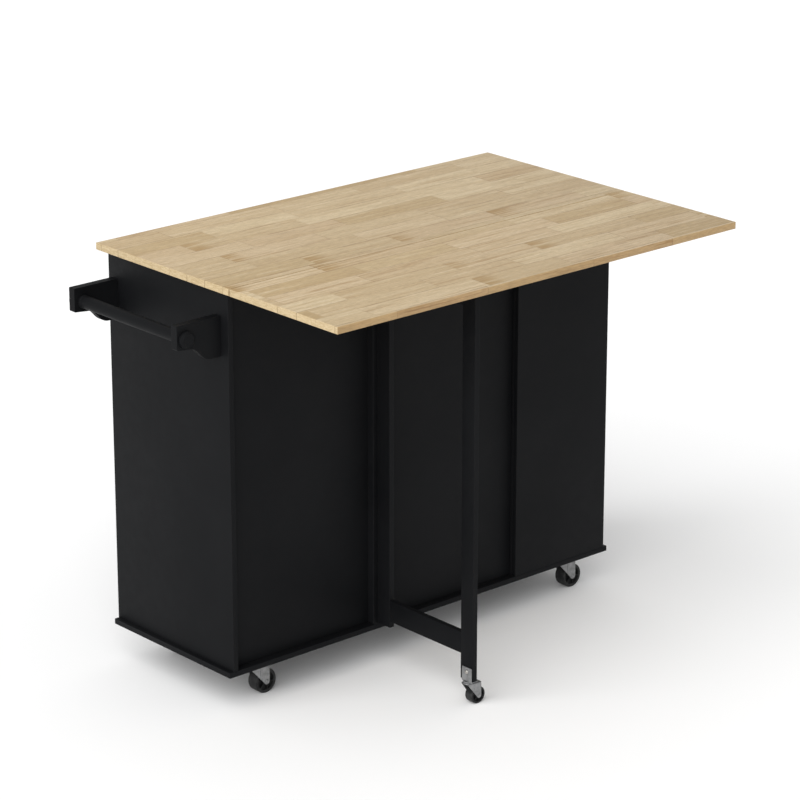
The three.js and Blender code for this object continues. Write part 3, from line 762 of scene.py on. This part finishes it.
def cabinet_caster(where):
    """One corner's caster, hung from its own rectangular plate with a screw at each corner."""
    name = f"caster_{where}"
    race_radius, race_height, sheet = 17 * MM, 6 * MM, 2.5 * MM
    corner_radius, inset_x, inset_y = 6 * MM, 8 * MM, 7 * MM
    low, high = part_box(name + "_plate")
    centre = (low + high) / 2
    half_x, half_y = (high.x - low.x) / 2, (high.y - low.y) / 2
    bm = extruded(rounded(-half_x, half_x, -half_y, half_y, corner_radius), -sheet, 0, 0.5 * MM, 2)
    swivel_head(bm, race_radius, race_height, sheet, -sheet)
    origin = Matrix.Translation((centre.x, centre.y, high.z))
    piece(name + "_plate_pressed", bm, "zinc", "cabinet", [name + "_plate"], origin)
    corners = [Vector((centre.x + a * (half_x - inset_x), centre.y + b * (half_y - inset_y), high.z - sheet))
               for a in (-1, 1) for b in (-1, 1)]
    screws(name + "_screws", "large", corners, -Z, "cabinet")
    fork(name + "_fork", name + "_wheel", name + "_swivel", race_radius, sheet)
    wheel(name + "_wheel", name + "_roller")


for where in ("near_left", "near_right", "far_left", "far_right"):
    cabinet_caster(where)


def leg_caster():
    """The gate leg's caster, on an angle plate whose upright flange has a slot for its screw."""
    race_radius, race_height, sheet = 12 * MM, 4 * MM, 2 * MM
    low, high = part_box("leg_caster_plate")
    post_low, post_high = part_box("gate_outer_post")
    gap = 0.3 * MM
    face, foot = post_low.x - gap, post_low.z - gap
    middle = (low.y + high.y) / 2
    half = (high.y - low.y) / 2
    tall = high.z - foot
    r = 1.5 * MM
    flange = [(-half + r, -sheet), (half - r, -sheet), (half, r - sheet)]
    flange += arc(half - r, tall - r, r, 0, 90, 4) + arc(r - half, tall - r, r, 90, 180, 4)
    flange.append((-half, r - sheet))
    upright = extruded(flange, 0, sheet, 0.4 * MM, 2)
    slot_low, slot_high, slot_radius = tall - 13 * MM, tall - 7.5 * MM, 2.7 * MM
    hole = arc(0, slot_high, slot_radius, 0, 180, 12) + arc(0, slot_low, slot_radius, 180, 360, 12)
    upright = carved(upright, extruded(hole, -sheet, 2 * sheet))
    to_face = Matrix(((0, 0, -1, face), (-1, 0, 0, middle), (0, 1, 0, foot), (0, 0, 0, 1)))
    bm = merged(upright, None, to_face)
    under = rounded(face - sheet, high.x, low.y, high.y, 2 * MM)
    extruded(under, foot - sheet, foot, 0.4 * MM, 2, bm)
    shape = bmesh.new()
    swivel_head(shape, race_radius, race_height, sheet, 0)
    post_centre = (post_low + post_high) / 2
    merged(shape, bm, Matrix.Translation((post_centre.x, post_centre.y, foot - sheet)))
    piece("leg_caster_bracket", bm, "zinc", "gate_leg", ["leg_caster_plate"])
    at = Vector((face - sheet + gap, middle, foot + (slot_low + slot_high) / 2))
    screws("leg_caster_bracket_screw", "large", [at], -X, "gate_leg", slot="nickel", turn=0.9)
    fork("leg_caster_fork", "leg_caster_wheel", "leg_caster_swivel", race_radius, sheet)
    wheel("leg_caster_wheel", "leg_caster_roller")


leg_caster()

# ---------------------------------------------------------------- drawer runners


def runner(name, body, wall, toward, ends, centre_z, half, depth):
    """A rolled steel channel along Y: a web against a wall, and two lips that reach toward the drawer."""
    t = 1.1 * MM
    lip = 2.4 * t
    outline = [(0, -half), (depth, -half), (depth, -half + lip), (depth - t, -half + lip),
               (depth - t, -half + t), (t, -half + t), (t, half - t), (depth - t, half - t),
               (depth - t, half - lip), (depth, half - lip), (depth, half), (0, half)]
    bm = extruded(outline, *ends, 0.25 * MM, 2)
    bm.transform(Matrix(((toward, 0, 0, wall), (0, 0, 1, 0), (0, 1, 0, centre_z), (0, 0, 0, 1))))
    return piece(name, bm, "zinc", body)


WALL_GAP, BOX_GAP = 0.3 * MM, 0.2 * MM
left_wall, right_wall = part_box("partition_left")[1].x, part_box("partition_right")[0].x
for i in (1, 2, 3):
    low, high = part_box(f"drawer_{i}_box")
    ends, z = (low.y + 2 * MM, high.y - 2 * MM), low.z + 26 * MM
    for side, wall, box_face, way in (("left", left_wall, low.x, 1), ("right", right_wall, high.x, -1)):
        runner(f"drawer_{i}_runner_{side}_fixed", "cabinet", wall + way * WALL_GAP, way,
               ends, z, half=21 * MM, depth=5.6 * MM)
        runner(f"drawer_{i}_runner_{side}_sliding", f"drawer_{i}", box_face - way * BOX_GAP, -way,
               ends, z, half=15 * MM, depth=5.8 * MM)

# ---------------------------------------------------------------- door hinges and shelf pins


def knuckle(low, high, r):
    """The profile of a hinge's knuckle between two heights, with both rims eased."""
    lip = 0.3 * MM
    return [(0, low), (r - lip, low), (r, low + lip), (r, high - lip), (r - lip, high), (0, high)]


def door_hinge(door, tag, axis_x, at_z):
    """A butt hinge's knuckles on the edge of an inset door: two on the cabinet and one on the door."""
    r, length, gap = 2.6 * MM, 18 * MM, 0.2 * MM
    ball = [(0, 0), (1.9, 0), (2.1, 0.8), (1.5, 1.9), (0.9, 2.3), (0, 2.4)]
    origin = Matrix.Translation((axis_x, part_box(door)[1].y, at_z))
    fixed = bmesh.new()
    for low in (-1.5 * length, 0.5 * length + gap):
        turned(knuckle(low, low + length - gap, r), 32, fixed)
    for way in (1, -1):
        turned([(radius * MM, way * (1.5 * length + z * MM)) for radius, z in ball], 32, fixed)
    piece(f"{door}_hinge_{tag}_fixed", fixed, "nickel", "cabinet", (), origin)
    moving = turned(knuckle(-0.5 * length + gap, 0.5 * length, r), 32)
    piece(f"{door}_hinge_{tag}_moving", moving, "nickel", door, (), origin)


for door, edge in (("door_left", 0), ("door_right", 1)):
    low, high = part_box(door)
    inset = 95 * MM
    for tag, z in (("lower", low.z + inset), ("upper", high.z - inset)):
        door_hinge(door, tag, (low, high)[edge].x, z)


def shelf_pins(shelf, side_faces):
    """Four pegs that stand out of the sides below a shelf."""
    low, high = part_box(shelf)
    inset, below = 45 * MM, 2.6 * MM
    peg = [(0, -0.3), (4.0, -0.3), (4.0, 0.8), (2.6, 1.1), (2.5, 8), (2.2, 8.4), (0, 8.4)]
    profile = [(radius * MM, height * MM) for radius, height in peg]
    bm = bmesh.new()
    for x, way in side_faces:
        for y in (low.y + inset, high.y - inset):
            turned(profile, 32, bm, facing(Vector((x, y, low.z - below)), way * X))
    return piece(shelf + "_pins", bm, "nickel", "cabinet")


shelf_pins("shelf_left", [(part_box("end_panel_left")[1].x, 1), (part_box("partition_left")[0].x, -1)])
shelf_pins("shelf_right", [(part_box("partition_right")[1].x, 1), (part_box("end_panel_right")[0].x, -1)])

# ---------------------------------------------------------------- floor, light and camera


def studio_floor(half_size=60):
    """A plain pale floor at Z = 0."""
    pale, paler = (0.955, 0.955, 0.955, 1), (0.97, 0.97, 0.97, 1)
    bm = bmesh.new()
    bmesh.ops.create_grid(bm, x_segments=8, y_segments=8, size=half_size)
    data = bpy.data.meshes.new("floor")
    bm.to_mesh(data)
    bm.free()
    floor = bpy.data.objects.new("floor", data)
    bpy.context.scene.collection.objects.link(floor)
    g = Graph("floor", Specular_IOR_Level=0.1)
    tone = g.noise(g.place(), 0.6, 2)
    data.materials.append(g.shade(Base_Color=g.blend(tone, pale, paler),
                                  Roughness=g.fit(tone, 0.0, 1.0, 0.78, 0.86)))


def sun(name, direction, strength, angle):
    """A broad soft light from a direction."""
    data = bpy.data.lights.new(name, "SUN")
    data.energy, data.angle = strength, math.radians(angle)
    lamp = bpy.data.objects.new(name, data)
    lamp.rotation_mode = "QUATERNION"
    lamp.rotation_quaternion = Vector(direction).to_track_quat("Z", "Y")
    bpy.context.scene.collection.objects.link(lamp)


def sky(strength):
    """Even white light from all round."""
    world = bpy.data.worlds.new("studio")
    world.use_nodes = True
    background = world.node_tree.nodes["Background"]
    background.inputs["Color"].default_value = (1, 1, 1, 1)
    background.inputs["Strength"].default_value = strength
    bpy.context.scene.world = world


def camera(azimuth, elevation, distance, right, up, focal):
    """A camera that looks at a point given to the right of and above the middle of the floor outline.

    The right and up offsets are metres in the picture's plane, and focal is for a 36 mm wide sensor.
    """
    a, e = math.radians(azimuth), math.radians(elevation)
    back = Vector((math.sin(a) * math.cos(e), -math.cos(a) * math.cos(e), math.sin(e)))
    sideways = Vector((math.cos(a), math.sin(a), 0))
    low, high = cad_box
    middle = Vector(((low.x + high.x) / 2, (low.y + high.y) / 2, low.z))
    data = bpy.data.cameras.new("camera")
    data.sensor_width, data.lens = 36, focal
    cam = bpy.data.objects.new("camera", data)
    cam.rotation_mode = "QUATERNION"
    cam.location = middle + sideways * right + back.cross(sideways) * up + back * distance
    cam.rotation_quaternion = back.to_track_quat("Z", "Y")
    bpy.context.scene.collection.objects.link(cam)
    bpy.context.scene.camera = cam


studio_floor()
sky(strength=0.66)
sun("key", direction=(-0.78, -0.26, 0.57), strength=2.7, angle=75)
bpy.context.scene.view_settings.view_transform = "Standard"
camera(azimuth=-41.47, elevation=18.93, distance=7.279, right=-0.0048, up=0.5386, focal=151.66)
